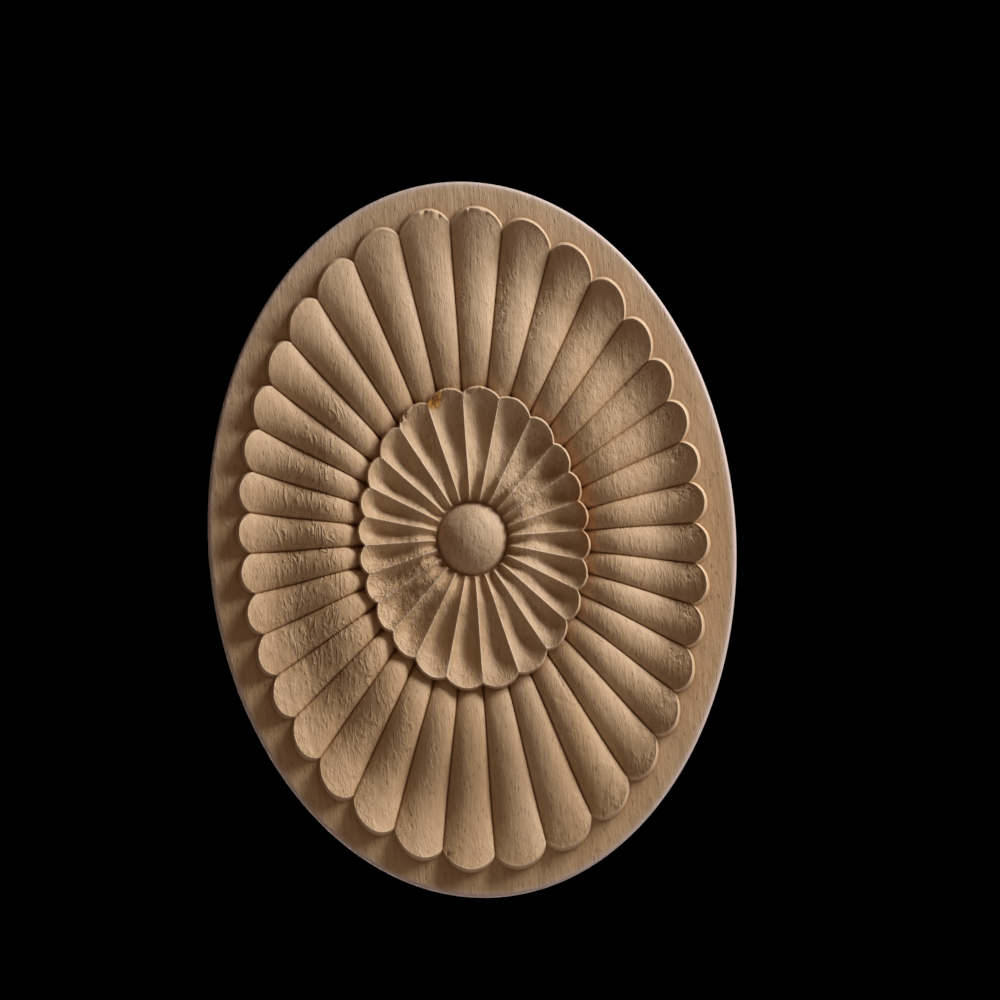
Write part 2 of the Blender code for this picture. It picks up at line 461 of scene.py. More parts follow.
def outline_offset(angle, count):
    """How far a petal's or flute's outline strays, from one to the next and along each."""
    scallop = math.floor(turns(angle, count) + 1e-9)
    whole = noise.noise(Vector((scallop * 5.1, 8.2, 0.0))) * (1 - (2 * across(angle, count)) ** 2)
    along = noise.noise(Vector((math.sin(angle) * 28, math.cos(angle) * 28, 3.0)))
    aside = RIM_TO_THE_RIGHT if count == FLUTES else PETALS_TO_THE_RIGHT
    return OUTLINE_UNEVENNESS * (1.3 * whole + 0.7 * along) + aside * math.sin(angle)


def scallop_radius(angle, count, tips, notches):
    """Distance from the centre to a ring of round tips, each an arc from notch to notch."""
    tip, notch = oval_radius(tips, angle), oval_radius(notches, angle)
    sag = arc_sag(pitch(notch, angle, count), tip - notch, across(angle, count))
    return tip - sag + outline_offset(angle, count)


def petal_height(radius, angle):
    """Height of the outer ring: a rounded petal, dished along its length, with a V-groove on each side."""
    inner = oval_radius(RIM_TIPS_FOOT, angle)
    outer = oval_radius(inset(PETAL_TIPS_FOOT, WALL_RUN), angle)
    along = (radius - inner) / (outer - inner)
    middle = petal_middle(max(along, 0.0)) + PETAL_LINE_INSIDE_SLOPE * min(along, 0.0)
    width = pitch(radius, angle, PETALS)
    flattening = min(max((along - TIP_FLATTENING_FROM) / (1 - TIP_FLATTENING_FROM), 0.0), 1.0)
    depth = PETAL_SAG * width * (1 - TIP_FLATTENING * flattening)
    place = abs(across(angle, PETALS))
    closing = fade(radius - inner, GROOVE_END_REACH) * (0.4 + 0.6 * near(angle, 270, 120))
    groove = (1 + GROOVE_END_DEEPENING * closing) * V_GROOVE_DEPTH
    groove *= fade((0.5 - place) * width, V_GROOVE_HALF_WIDTH * (1 + GROOVE_END_WIDENING * closing))
    lip = TIP_LIP * lit_side(angle) * fade(petal_edge(angle) - radius, LIP_WIDTH)
    return middle - depth * (2 * place) ** PETAL_POWER - groove + lip + petal_offset(angle)


def flute_height(radius, angle):
    """Height of the inner rosette: a scoop that rises to the rim, with sharp ridges beside it."""
    button = oval_radius(BUTTON, angle)
    rim = oval_radius(inset(RIM_TIPS_FOOT, RIM_RUN), angle)
    along = (radius - button) / (rim - button)
    floor, ridge = flute_floor(along), flute_ridge(along)
    lowest = LOWEST_LINE_SHIFT * math.sin(2 * angle)
    off = across(angle, FLUTES) - lowest
    rise = abs(off) / (0.5 - lowest if off > 0 else 0.5 + lowest)
    lip = RIM_LIP * lit_side(angle) * fade(rim_edge(angle) - radius, LIP_WIDTH)
    return floor + max(ridge - floor, 0.0) * rise**SCOOP_POWER + lip


def button_height(share):
    return BUTTON_TOP - BUTTON_DOME_RADIUS + math.sqrt(BUTTON_DOME_RADIUS**2 - (share * BUTTON[0]) ** 2)


def petal_foot(angle):
    return scallop_radius(angle, PETALS, PETAL_TIPS_FOOT, PETAL_NOTCHES_FOOT)


def petal_edge(angle):
    tips, notches = inset(PETAL_TIPS_FOOT, WALL_RUN), inset(PETAL_NOTCHES_FOOT, WALL_RUN)
    return scallop_radius(angle, PETALS, tips, notches)


def rim_foot(angle):
    return scallop_radius(angle, FLUTES, RIM_TIPS_FOOT, RIM_NOTCHES_FOOT)


def rim_edge(angle):
    tips, notches = inset(RIM_TIPS_FOOT, RIM_RUN), inset(RIM_NOTCHES_FOOT, RIM_RUN)
    return scallop_radius(angle, FLUTES, tips, notches)


def flute_foot(angle):
    return oval_radius(BUTTON, angle) + GROOVE_WIDTH


def between(inner_at, outer_at, share):
    return lambda angle: inner_at(angle) + share * (outer_at(angle) - inner_at(angle))


def even_angles(sides):
    return [math.tau * step / sides for step in range(sides)]


def scallop_angles(sides, count):
    """Angles once round, with the steps of each petal or flute drawn in towards its two notches."""
    angles = []
    for step in range(sides):
        place = step * count / sides
        scallop = math.floor(place + 1e-9)
        side = 2 * (place - scallop) - 1
        drawn = math.copysign(1 - (1 - abs(side)) ** NOTCH_CROWDING, side)
        own = math.tau * (scallop + 0.5 + 0.5 * drawn) / count
        angles.append(math.atan2(math.sin(own) * squeeze(count) / PATTERN_SQUEEZE, math.cos(own)) % math.tau)
    return angles


def border_marks(radius, angle):
    """Marks of the plain border; like all marks, by name, and 0 where not given."""
    outside = oval_radius((CAD_HIGH.x / MM, CAD_HIGH.z / MM), angle)
    return {
        # groove: painted shadow of the petal tips at their feet, and painted shade over the left border
        "groove": max(0.7 * fade(radius - petal_foot(angle), 1.0), 0.22 * near(angle, 280, 75)),
        # rim: painted rim light, a lighter grey band along the rounded outer edge
        "rim": min(1.5 * fade(outside - radius, 1.4), 1.0),
        "peck": 0.32 + 0.25 * near(angle, 270, 110),
        "raised": 0.6 * near(angle, 0, 80),
    }


def petal_marks(radius, angle):
    inner, outer = rim_foot(angle), petal_edge(angle)
    along = (radius - inner) / (outer - inner)
    place = across(angle, PETALS)
    beside = (0.5 - abs(place)) * pitch(radius, angle, PETALS)
    tip = fade(1 - along, 0.3)
    # seam_shade, notch_shade and groove_shade are painted shade: darker along the grooves, in the notches at
    # the rim's foot and where the rim casts its shadow.
    seam_shade = fade(beside, 0.4) * (1 - 0.7 * near(angle, 62, 45))
    notch_shade = 1.4 * near(angle, 270, 110) * fade(radius - inner, 3.0) * fade(beside, 1.4)
    torn_tip = near(angle, 92, 62) * hump(along, 0.86, 0.1) * hump(place, -0.27, 0.28)
    torn_side = near(angle, 14, 22) * hump(along, 0.55, 0.35) * hump(place, -0.4, 0.25)
    groove_shade = max(seam_shade, 0.8 * fade(radius - inner, 1.8)) * (1 - fade(outer - radius, 0.6))
    left_chatter = min(1.9 * near(angle, 262, 84) * hump(along, 0.44, 0.38), 1.0)
    right_chatter = 0.25 * near(angle, 95, 70) * (1 - tip)
    tip_pecks = (0.7 * near(angle, 125, 75) + 0.65 * near(angle, 228, 70)) * tip
    pecks = 0.42 + 0.25 * near(angle, 255, 80) + 0.2 * near(angle, 45, 45)
    smoothed = 0.2 * near(angle, 183, 40) + 0.15 * near(angle, 315, 35)
    return {
        "groove": min(groove_shade + notch_shade, 1.0),
        # edge: wear on the tips' edges with a painted highlight, stronger toward the key light
        "edge": fade(outer - radius, 0.5) * (0.4 + 0.6 * lit_side(angle)),
        "chip": fade(outer - radius, CHIP_WIDTH),
        "burn": 0.7 * near(angle, 72, 60) * fade(radius - inner, 4.6),
        "chatter": left_chatter + right_chatter,
        "peck": pecks + tip_pecks - smoothed,
        "torn": min(3.0 * torn_tip + 1.2 * torn_side, 1.0) + 0.15 * near(angle, 60, 60),
        "raised": 0.7 * near(angle, 5, 70),
    }


def wall_marks(share, burn=0.0):
    """Marks of a steep wall, at this share of the way up it: painted shade at its foot, and wear with a
    painted highlight toward its top, stronger on the lit side.
    """

    def marks(radius, angle):
        return {
            "groove": 0.6 * fade(share, 0.3),
            "edge": share * (0.4 + 0.6 * lit_side(angle)),
            "chip": share,
            "burn": burn * near(angle, 85, 50),
        }

    return marks


def flute_marks(radius, angle):
    edge = rim_edge(angle)
    place = across(angle, FLUTES)
    beside = (0.5 - abs(place)) * pitch(radius, angle, FLUTES)
    x, z = direction(angle)
    spot = math.hypot(radius * x - RESIN_SPOT[0], (radius * z - RESIN_SPOT[1]) * RESIN_SPOT_SHORTNESS)
    return {
        # groove: painted shade in the groove round the button
        "groove": fade(radius - oval_radius(BUTTON, angle), 1.9) * (1 - 0.7 * (2 * place) ** 2),
        # edge: wear with a painted highlight on the rim, stronger toward the key light, and on the ridges
        "edge": max(fade(edge - radius, 0.7) * (0.5 + 0.5 * lit_side(angle)), fade(beside, 0.4)),
        "chip": fade(edge - radius, CHIP_WIDTH),
        "warm": 0.88 * warmth(radius * x, radius * z),
        "burn": min(1.5 * near(angle, 82, 42) * fade(edge - radius, 2.4), 1.0),
        "peck": 0.85 + 0.3 * near(angle, 235, 60) + 0.2 * near(angle, 62, 50),
        "torn": 0.5 * near(angle, 48, 36) + 0.65 * near(angle, 243, 40),
        "resin": min(3.5 * fade(spot, RESIN_SPOT_REACH), 1.0),
    }


def button_marks(radius, angle):
    # groove: painted shade where the button meets its groove
    return {"groove": 0.9 * fade(oval_radius(BUTTON, angle) - radius, 0.6), "peck": 0.6, "warm": 0.0}


def no_marks(radius, angle):
    return {}


def warmth(x, z):
    """How warm the colour is: 0 at the top, nearly 1 below the middle and at the left, in soft clouds. Partly
    the wood's own tone and partly painted light: through the tints it paints the top brighter, where the key
    light falls, and the shaded left redder.
    """
    cloud = 0.35 * rough(x, z, 12.0, 40.0, 5) + 0.3 * rough(x, z, 5.0, 11.0, 6)
    downward = 0.8 - 0.8 * fade(abs(z - 90), 88)
    leftward = 0.3 * max(-x / 60, 0.0) * fade(z, 50)
    return min(max(downward + leftward + cloud, 0.0), 1.0)


def chipped(x, z):
    """Depth of the chips that broke off the upper edges, in mm."""
    depth = 0.0
    for chip_x, chip_z, reach, most in CHIPS:
        closeness = fade(math.hypot(x - chip_x, z - chip_z), reach)
        if closeness > 0:
            depth += most * min(2 * closeness, 1.0) * max(rough(x, z, *CHIP_GRAIN, 9) * 1.6 + 0.1, 0.0)
    return depth


def slipped(x, z):
    """Depth of the tool's slips, in mm."""
    deepest = 0.0
    for x0, z0, x1, z1 in SLIPS:
        length = math.hypot(x1 - x0, z1 - z0)
        along = ((x - x0) * (x1 - x0) + (z - z0) * (z1 - z0)) / length**2
        beside = abs((x - x0) * (z1 - z0) - (z - z0) * (x1 - x0)) / length
        ends = min(4 * fade(abs(along - 0.5), 0.55), 1.0)
        deepest = max(deepest, SLIP_DEPTH * ends * fade(beside, SLIP_HALF_WIDTH))
    return deepest


def worked(x, z, marks):
    """How far sanding, the cutter and chips leave a point above or below its true form, in mm."""
    hand = SANDING_HEIGHT * rough(x, z, *SANDING_SPOTS, 1) + CUTTER_HEIGHT * rough(x, z, *CUTTER_SPOTS, 2)
    coarse = PECKED_HEIGHT * marks.get("peck", 0.0) + TORN_HEIGHT * marks.get("torn", 0.0)
    pecked = coarse * rough(x, z, *TORN_SPOTS, 3)
    ragged = marks.get("edge", 0.0) * RAGGED_HEIGHT * rough(x, z, *RAGGED_SPOTS, 4)
    return hand + pecked + ragged - marks.get("chip", 0.0) * chipped(x, z) - slipped(x, z)


class Carving:
    """The rosette's mesh, built ring by ring from the back's edge to the top of the button."""

    def __init__(self, half_axes, thickness, hand_work):
        self.mesh = bmesh.new()
        self.plate = half_axes
        self.thickness = thickness
        self.hand_work = hand_work
        self.layers = {name: self.mesh.verts.layers.float.new(name) for name in MARKS}
        self.rings = []

    def ring(self, angles, radius_at, height_at, marks_at, worked_share=1.0):
        """One closed ring of points; it takes on this share of the worked wood's unevenness."""
        points = []
        for angle in angles:
            radius = radius_at(angle)
            x, z = direction(angle)
            marks = {"warm": warmth(radius * x, radius * z), **marks_at(radius, angle)}
            uneven = self.hand_work * worked_share * worked(radius * x, radius * z, marks)
            height = height_at(radius, angle) + uneven
            point = self.mesh.verts.new((radius * x * MM, -(self.thickness + height) * MM, radius * z * MM))
            for name, layer in self.layers.items():
                point[layer] = marks.get(name, 0.0)
            points.append(point)
        self.rings.append(points)

    def plate_rings(self):
        angles = even_angles(PLATE_SIDES)

        def level(inward, height, worked_share=0.0):
            axes = inset(self.plate, inward)
            marks_at = border_marks if height > -EDGE_ROUND_DEPTH else no_marks
            self.ring(angles, lambda a: oval_radius(axes, a), lambda r, a: height, marks_at, worked_share)

        level(BACK_CHAMFER, -self.thickness)
        level(0.0, -self.thickness + BACK_CHAMFER)
        for turn in (math.radians(90 * step / EDGE_ROUND_STEPS) for step in range(EDGE_ROUND_STEPS + 1)):
            level(EDGE_ROUND_WIDTH * (1 - math.cos(turn)), -EDGE_ROUND_DEPTH * (1 - math.sin(turn)))
        for inward in BORDER_RINGS:
            level(inward, 0.0, 0.5)

    def petal_rings(self):
        angles = scallop_angles(PETAL_SIDES, PETALS)
        self.ring(angles, lambda a: petal_foot(a) + 0.6, lambda r, a: 0.0, border_marks, 0.5)
        self.ring(angles, petal_foot, lambda r, a: 0.0, border_marks, 0.5)

        def edge_height(angle):
            return max(petal_height(petal_edge(angle), angle), LOWEST_PETAL_EDGE)

        for share, rise in WALL_PROFILE:
            self.ring(
                angles,
                between(petal_foot, petal_edge, share),
                lambda r, a, rise=rise: rise * edge_height(a),
                wall_marks(share),
                share,
            )
        self.ring(angles, petal_edge, lambda r, a: edge_height(a), petal_marks)
        for inward in NEAR_EDGE:
            self.ring(angles, lambda a, inward=inward: petal_edge(a) - inward, petal_height, petal_marks)
        for step in range(1, PETAL_RINGS):
            share = 1 - step / (PETAL_RINGS - 1)
            last_inset = NEAR_EDGE[-1]
            self.ring(
                angles,
                between(rim_foot, lambda a: petal_edge(a) - last_inset, share),
                petal_height,
                petal_marks,
            )

    def flute_rings(self):
        foot_angles = scallop_angles(PETAL_SIDES, PETALS)
        rim_angles = scallop_angles(PETAL_SIDES, FLUTES)
        for share, rise in RIM_PROFILE:
            angles = [foot + share * (rim - foot) for foot, rim in zip(foot_angles, rim_angles)]
            self.ring(
                angles,
                between(rim_foot, rim_edge, share),
                lambda r, a, rise=rise: petal_height(rim_foot(a), a)
                + rise * (flute_height(rim_edge(a), a) - petal_height(rim_foot(a), a)),
                wall_marks(share, 0.4),
                share,
            )
        self.ring(rim_angles, rim_edge, flute_height, flute_marks)
        angles = scallop_angles(FLUTE_SIDES, FLUTES)
        for inward in NEAR_EDGE:
            self.ring(angles, lambda a, inward=inward: rim_edge(a) - inward, flute_height, flute_marks)
        for step in range(1, FLUTE_RINGS):
            share = 1 - step / (FLUTE_RINGS - 1)
            last_inset = NEAR_EDGE[-1]
            self.ring(
                angles,
                between(flute_foot, lambda a: rim_edge(a) - last_inset, share),
                flute_height,
                flute_marks,
            )

    def button_rings(self):
        angles = even_angles(BUTTON_SIDES)
        for step in range(BUTTON_RINGS):
            share = 1 - step / BUTTON_RINGS
            self.ring(
                angles,
                lambda a, share=share: share * oval_radius(BUTTON, a),
                lambda r, a, share=share: button_height(share),
                button_marks,
            )

    def skin(self, outer, inner, slot):
        """Faces between two rings; one ring may have a whole number of times as many sides as the other."""
        coarse, fine, turned = (outer, inner, False) if len(outer) <= len(inner) else (inner, outer, True)
        ratio = len(fine) // len(coarse)
        for side in range(len(coarse)):
            start, end = coarse[side], coarse[(side + 1) % len(coarse)]
            run = [fine[(side * ratio + step) % len(fine)] for step in range(ratio + 1)]
            middle = (ratio + 1) // 2
            if ratio == 1:
                faces = [(start, run[0], run[1], end)]
            else:
                faces = [(start, run[step], run[step + 1]) for step in range(middle)]
                faces.append((start, run[middle], end))
                faces += [(end, run[step], run[step + 1]) for step in range(middle, ratio)]
            for corners in faces:
                self.mesh.faces.new(corners if turned else corners[::-1]).material_index = slot

    def close(self, ring, y, outward, slot):
        """A fan of faces that closes the first or the last ring."""
        centre = self.mesh.verts.new((0.0, y * MM, 0.0))
        for here, after in zip(ring, ring[1:] + ring[:1]):
            corners = (centre, after, here) if outward else (centre, here, after)
            self.mesh.faces.new(corners).material_index = slot

    def build(self, name):
        self.plate_rings()
        self.petal_rings()
        self.flute_rings()
        self.button_rings()
        carved, planed = 0, 1
        for place, (outer, inner) in enumerate(zip(self.rings, self.rings[1:])):
            self.skin(outer, inner, planed if place < 2 else carved)
        self.close(self.rings[0], 0.0, False, planed)
        self.close(self.rings[-1], -(self.thickness + BUTTON_TOP), True, carved)
        bmesh.ops.recalc_face_normals(self.mesh, faces=self.mesh.faces)
        data = bpy.data.meshes.new(name)
        self.mesh.to_mesh(data)
        self.mesh.free()
        piece = bpy.data.objects.new(name, data)
        bpy.context.scene.collection.objects.link(piece)
        return piece


def select_only(piece):
    for other in bpy.context.selected_objects:
        other.select_set(False)
    piece.select_set(True)
    bpy.context.view_layer.objects.active = piece


def put(tree, kind, values=None, **settings):
    """Add a node, set it up, and give each of its inputs a value or a link."""
    node = tree.nodes.new(kind)
    for name, value in settings.items():
        setattr(node, name, value)
    for name, value in (values or {}).items():
        if isinstance(value, bpy.types.NodeSocket):
            tree.links.new(value, node.inputs[name])
        else:
            node.inputs[name].default_value = value
    return node


def calc(tree, operation, first, second=0.0, clamp=False):
    return put(tree, "ShaderNodeMath", {0: first, 1: second}, operation=operation, use_clamp=clamp).outputs[0]


def step_up(tree, value, low, high):
    """0 below low, 1 above high and smooth between, or the other way round where low is the larger."""
    limits = {"Value": value, "From Min": min(low, high), "From Max": max(low, high)}
    if low > high:
        limits.update({"To Min": 1.0, "To Max": 0.0})
    return put(tree, "ShaderNodeMapRange", limits, interpolation_type="SMOOTHSTEP").outputs["Result"]


def mix_colour(tree, factor, first, second, blend="MIX"):
    node = put(tree, "ShaderNodeMix", data_type="RGBA", blend_type=blend, clamp_factor=True)
    for socket, value in zip((node.inputs[0], node.inputs[6], node.inputs[7]), (factor, first, second)):
        if isinstance(value, bpy.types.NodeSocket):
            tree.links.new(value, socket)
        else:
            socket.default_value = value
    return node.outputs[2]


def grained(tree, coordinates, width, length):
    """Coordinates in which one unit is this many millimetres across the grain and along it."""
    scale = (1 / (width * MM), 1 / (width * MM), 1 / (length * MM))
    return put(tree, "ShaderNodeVectorMath", {0: coordinates, 1: scale}, operation="MULTIPLY").outputs[0]


def noise_value(tree, coordinates, detail=2.0, distortion=0.0):
    values = {"Vector": coordinates, "Scale": 1.0, "Detail": detail, "Distortion": distortion}
    return put(tree, "ShaderNodeTexNoise", values).outputs["Fac"]


def mark(tree, name):
    return put(tree, "ShaderNodeAttribute", attribute_name=name).outputs["Fac"]


def wood_grain():
    """Upright beech grain: broad bands, fine streaks, short dark flecks, and their height in mm."""
    tree = bpy.data.node_groups.new("wood_grain", "ShaderNodeTree")
    for name in ("Bands", "Streaks", "Flecks", "Height"):
        tree.interface.new_socket(name, in_out="OUTPUT", socket_type="NodeSocketFloat")
    fleck_share = tree.interface.new_socket("Fleck Share", in_out="INPUT", socket_type="NodeSocketFloat")
    fleck_share.default_value = 0.5
    given = tree.nodes.new("NodeGroupInput")
    place = put(tree, "ShaderNodeTexCoord").outputs["Object"]
    wander = noise_value(tree, grained(tree, place, 9.0, 22.0), 1.0)
    sideways = calc(tree, "MULTIPLY", calc(tree, "SUBTRACT", wander, 0.5), 3.0 * MM)
    shift = put(tree, "ShaderNodeCombineXYZ", {"X": sideways}).outputs[0]
    wavy = put(tree, "ShaderNodeVectorMath", {0: place, 1: shift}, operation="ADD").outputs[0]

    bands = noise_value(tree, grained(tree, wavy, 7.0, 110.0), 2.0)
    streaks = noise_value(tree, grained(tree, wavy, 0.55, 13.0), 2.0)
    spots = put(tree, "ShaderNodeTexVoronoi", {"Vector": grained(tree, wavy, 0.95, 3.2), "Scale": 1.0})
    chance = put(tree, "ShaderNodeSeparateColor", {"Color": spots.outputs["Color"]}).outputs["Red"]
    shown = calc(tree, "LESS_THAN", chance, given.outputs["Fleck Share"])
    dash = step_up(tree, spots.outputs["Distance"], 0.30, 0.10)
    flecks = calc(tree, "MULTIPLY", dash, shown)
    fibres = calc(tree, "MULTIPLY", calc(tree, "SUBTRACT", streaks, 0.5), 0.07)
    height = calc(tree, "SUBTRACT", fibres, calc(tree, "MULTIPLY", flecks, 0.03))

    out = tree.nodes.new("NodeGroupOutput")
    for name, socket in zip(("Bands", "Streaks", "Flecks", "Height"), (bands, streaks, flecks, height)):
        tree.links.new(socket, out.inputs[name])
    return tree


def new_wood(name, fleck_share):
    """A wood material's tree, its shader and its grain."""
    material = bpy.data.materials.new(name)
    material.use_nodes = True
    tree = material.node_tree
    group = bpy.data.node_groups.get("wood_grain") or wood_grain()
    grain = put(tree, "ShaderNodeGroup", node_tree=group)
    grain.inputs["Fleck Share"].default_value = fleck_share
    return material, tree, tree.nodes["Principled BSDF"], grain.outputs


def grain_colour(tree, finish, grain):
    broad = calc(tree, "MULTIPLY", grain["Bands"], 0.9)
    tone = calc(tree, "ADD", broad, calc(tree, "MULTIPLY", grain["Streaks"], 0.8))
    paler = step_up(tree, tone, 0.55, 1.15)
    return mix_colour(tree, paler, finish.deep, finish.pale)


def bump_from(tree, height_mm, depth):
    values = {"Height": height_mm, "Distance": depth * MM, "Strength": 1.0}
    return put(tree, "ShaderNodeBump", values).outputs["Normal"]


def carved_wood(finish):
    """Beech as the cutter and the sandpaper left it, with painted shade in the grooves, painted highlights on
    the edges and the rim, and a painted brighter top.
    """
    material, tree, shader, grain = new_wood("carved_beech", 0.47)
    place = put(tree, "ShaderNodeTexCoord").outputs["Object"]

    # tool marks: upright dashes and curls where the cutter crossed the grain,
    # pecking and pits where it tore the fibres
    wander = noise_value(tree, grained(tree, place, 6.0, 9.0), 1.0)
    sideways = calc(tree, "MULTIPLY", calc(tree, "SUBTRACT", wander, 0.5), 5.0 * MM)
    shift = put(tree, "ShaderNodeCombineXYZ", {"X": sideways}).outputs[0]
    bent = put(tree, "ShaderNodeVectorMath", {0: place, 1: shift}, operation="ADD").outputs[0]
    bent_x = put(tree, "ShaderNodeSeparateXYZ", {"Vector": bent}).outputs["X"]
    phase = calc(tree, "MULTIPLY", bent_x, math.tau / (DASH_SPACING * MM))
    dashes = step_up(tree, calc(tree, "SINE", phase), 0.1, 0.95)
    dash_patches = step_up(tree, noise_value(tree, grained(tree, place, 3.4, 2.2), 1.0), 0.50, 0.62)
    lines = noise_value(tree, grained(tree, bent, 2.1, 14.0), 1.0)
    curls = step_up(tree, calc(tree, "ABSOLUTE", calc(tree, "SUBTRACT", lines, 0.5)), 0.06, 0.0)
    curl_patches = step_up(tree, noise_value(tree, grained(tree, bent, 5.0, 8.0), 1.0), 0.44, 0.56)
    some_dashes = calc(tree, "MULTIPLY", dashes, dash_patches)
    some_curls = calc(tree, "MULTIPLY", curls, curl_patches)
    ridges = calc(tree, "MAXIMUM", some_dashes, some_curls)
    chatter = calc(tree, "MULTIPLY", ridges, mark(tree, "chatter"))
    pecks = noise_value(tree, grained(tree, place, 0.55, 1.25), 2.0)
    peck_patches = step_up(tree, noise_value(tree, grained(tree, place, 3.0, 5.0), 1.0), 0.30, 0.65)
    pecking = calc(tree, "MULTIPLY", calc(tree, "MULTIPLY", pecks, peck_patches), mark(tree, "peck"))
    pits = step_up(tree, noise_value(tree, grained(tree, place, 1.2, 1.7), 1.0, 0.8), 0.50, 0.36)
    tearing = calc(tree, "MULTIPLY", pits, mark(tree, "torn"))
    grit = noise_value(tree, grained(tree, place, 0.28, 0.45), 1.0)
    height = calc(tree, "MULTIPLY", grain["Height"], calc(tree, "ADD", mark(tree, "raised"), 1.0))
    reliefs = ((chatter, CHATTER_DEPTH), (pecking, PECK_DEPTH), (tearing, -TEAR_DEPTH), (grit, GRIT_DEPTH))
    for relief, depth in reliefs:
        height = calc(tree, "ADD", height, calc(tree, "MULTIPLY", relief, depth))
    tree.links.new(bump_from(tree, height, finish.texture_depth), shader.inputs["Normal"])

    # colour
    colour = grain_colour(tree, finish, grain)
    # painted light: the brighter cool tint lights the top; the warm tint below and at the left is partly the
    # wood's tone and partly painted shade
    tint = mix_colour(tree, mark(tree, "warm"), finish.cool_lit_tint, finish.warm_tint)
    colour = mix_colour(tree, 1.0, colour, tint, "MULTIPLY")
    fleck_strength = calc(tree, "SUBTRACT", 0.66, calc(tree, "MULTIPLY", mark(tree, "raised"), 0.4))
    colour = mix_colour(tree, calc(tree, "MULTIPLY", grain["Flecks"], fleck_strength), colour, finish.fleck)
    colour = mix_colour(tree, calc(tree, "MULTIPLY", tearing, 0.2), colour, finish.fleck)
    # wear on the upper edges together with a painted highlight, stronger toward the key light
    rubbed = noise_value(tree, grained(tree, place, 1.2, 2.0), 1.0)
    edge_wear_and_highlight = calc(tree, "MULTIPLY", mark(tree, "edge"), rubbed)
    colour = mix_colour(tree, calc(tree, "MULTIPLY", edge_wear_and_highlight, 1.3, True), colour, finish.worn_lit_edge)
    cloud = step_up(tree, noise_value(tree, grained(tree, place, 4.0, 6.0), 2.0), 0.35, 0.65)
    patchy = calc(tree, "ADD", calc(tree, "MULTIPLY", cloud, 0.6), 0.4)
    hot = calc(tree, "MULTIPLY", mark(tree, "burn"), patchy)
    colour = mix_colour(tree, hot, colour, finish.burnt)
    sap = noise_value(tree, grained(tree, place, 1.1, 1.6), 1.0)
    amber = mix_colour(tree, step_up(tree, sap, 0.40, 0.62), finish.amber, finish.thin_amber)
    colour = mix_colour(tree, mark(tree, "resin"), colour, amber)
    # painted rim light along the plate's rounded outer edge
    colour = mix_colour(tree, mark(tree, "rim"), colour, finish.painted_rim_light)
    # painted shade: darker in the grooves, at the feet of the walls, round the button and where the tips'
    # shadows lie on the left border
    colour = mix_colour(tree, mark(tree, "groove"), colour, finish.shadowed, "MULTIPLY")
    tree.links.new(colour, shader.inputs["Base Color"])

    rough_spots = calc(tree, "MULTIPLY", calc(tree, "SUBTRACT", grain["Streaks"], 0.5), 0.2)
    roughness = calc(tree, "ADD", rough_spots, finish.roughness)
    roughness = calc(tree, "SUBTRACT", roughness, calc(tree, "MULTIPLY", mark(tree, "resin"), 0.3))
    tree.links.new(roughness, shader.inputs["Roughness"])
    return material


def planed_wood(finish):
    """The back and the upright edge: planed flat, with faint ripples and dotted end grain."""
    material, tree, shader, grain = new_wood("planed_beech", 0.3)
    place = put(tree, "ShaderNodeTexCoord").outputs["Object"]
    ripples = put(
        tree, "ShaderNodeTexWave", {"Vector": place, "Scale": 60.0, "Distortion": 1.5, "Detail": 1.0},
        wave_type="BANDS", bands_direction="Z",
    ).outputs["Fac"]
    height = calc(tree, "ADD", grain["Height"], calc(tree, "MULTIPLY", ripples, 0.02))
    tree.links.new(bump_from(tree, height, finish.texture_depth), shader.inputs["Normal"])

    upright = put(tree, "ShaderNodeSeparateXYZ", {"Vector": place}).outputs["Z"]
    near_ends = step_up(tree, calc(tree, "ABSOLUTE", upright), 60 * MM, 90 * MM)
    forward = put(tree, "ShaderNodeSeparateXYZ", {"Vector": place}).outputs["Y"]
    off_back = step_up(tree, forward, -0.05 * MM, -0.35 * MM)
    end_grain = calc(tree, "MULTIPLY", near_ends, off_back)
    pores = put(tree, "ShaderNodeTexVoronoi", {"Vector": grained(tree, place, 0.7, 0.7), "Scale": 1.0})
    dots = calc(tree, "MULTIPLY", step_up(tree, pores.outputs["Distance"], 0.35, 0.15), end_grain)
    colour = grain_colour(tree, finish, grain)
    colour = mix_colour(tree, calc(tree, "MULTIPLY", grain["Flecks"], 0.4), colour, finish.fleck)
    colour = mix_colour(tree, calc(tree, "MULTIPLY", dots, 0.45), colour, finish.fleck)
    colour = mix_colour(tree, calc(tree, "MULTIPLY", end_grain, 0.5), colour, finish.deep)
    tree.links.new(colour, shader.inputs["Base Color"])
    streaky = calc(tree, "MULTIPLY", grain["Streaks"], 0.15)
    tree.links.new(calc(tree, "ADD", streaky, finish.roughness - 0.05), shader.inputs["Roughness"])
    return material


def pale_floor():
    """Smooth painted board, with a faint mottle."""
    material = bpy.data.materials.new("pale_floor")
    material.use_nodes = True
    tree = material.node_tree
    shader = tree.nodes["Principled BSDF"]
    place = put(tree, "ShaderNodeTexCoord").outputs["Object"]
    mottle = noise_value(tree, grained(tree, place, 60.0, 60.0), 3.0)
    colour = mix_colour(tree, mottle, (0.70, 0.69, 0.67, 1.0), (0.74, 0.73, 0.71, 1.0))
    tree.links.new(colour, shader.inputs["Base Color"])
    shader.inputs["Roughness"].default_value = 0.8
    return material


def facing(place, side, top, back):
    """World matrix of a lamp or camera at a place, from the directions of its own axes."""
    return Matrix.Translation(place) @ Matrix((side, top, back)).transposed().to_4x4()


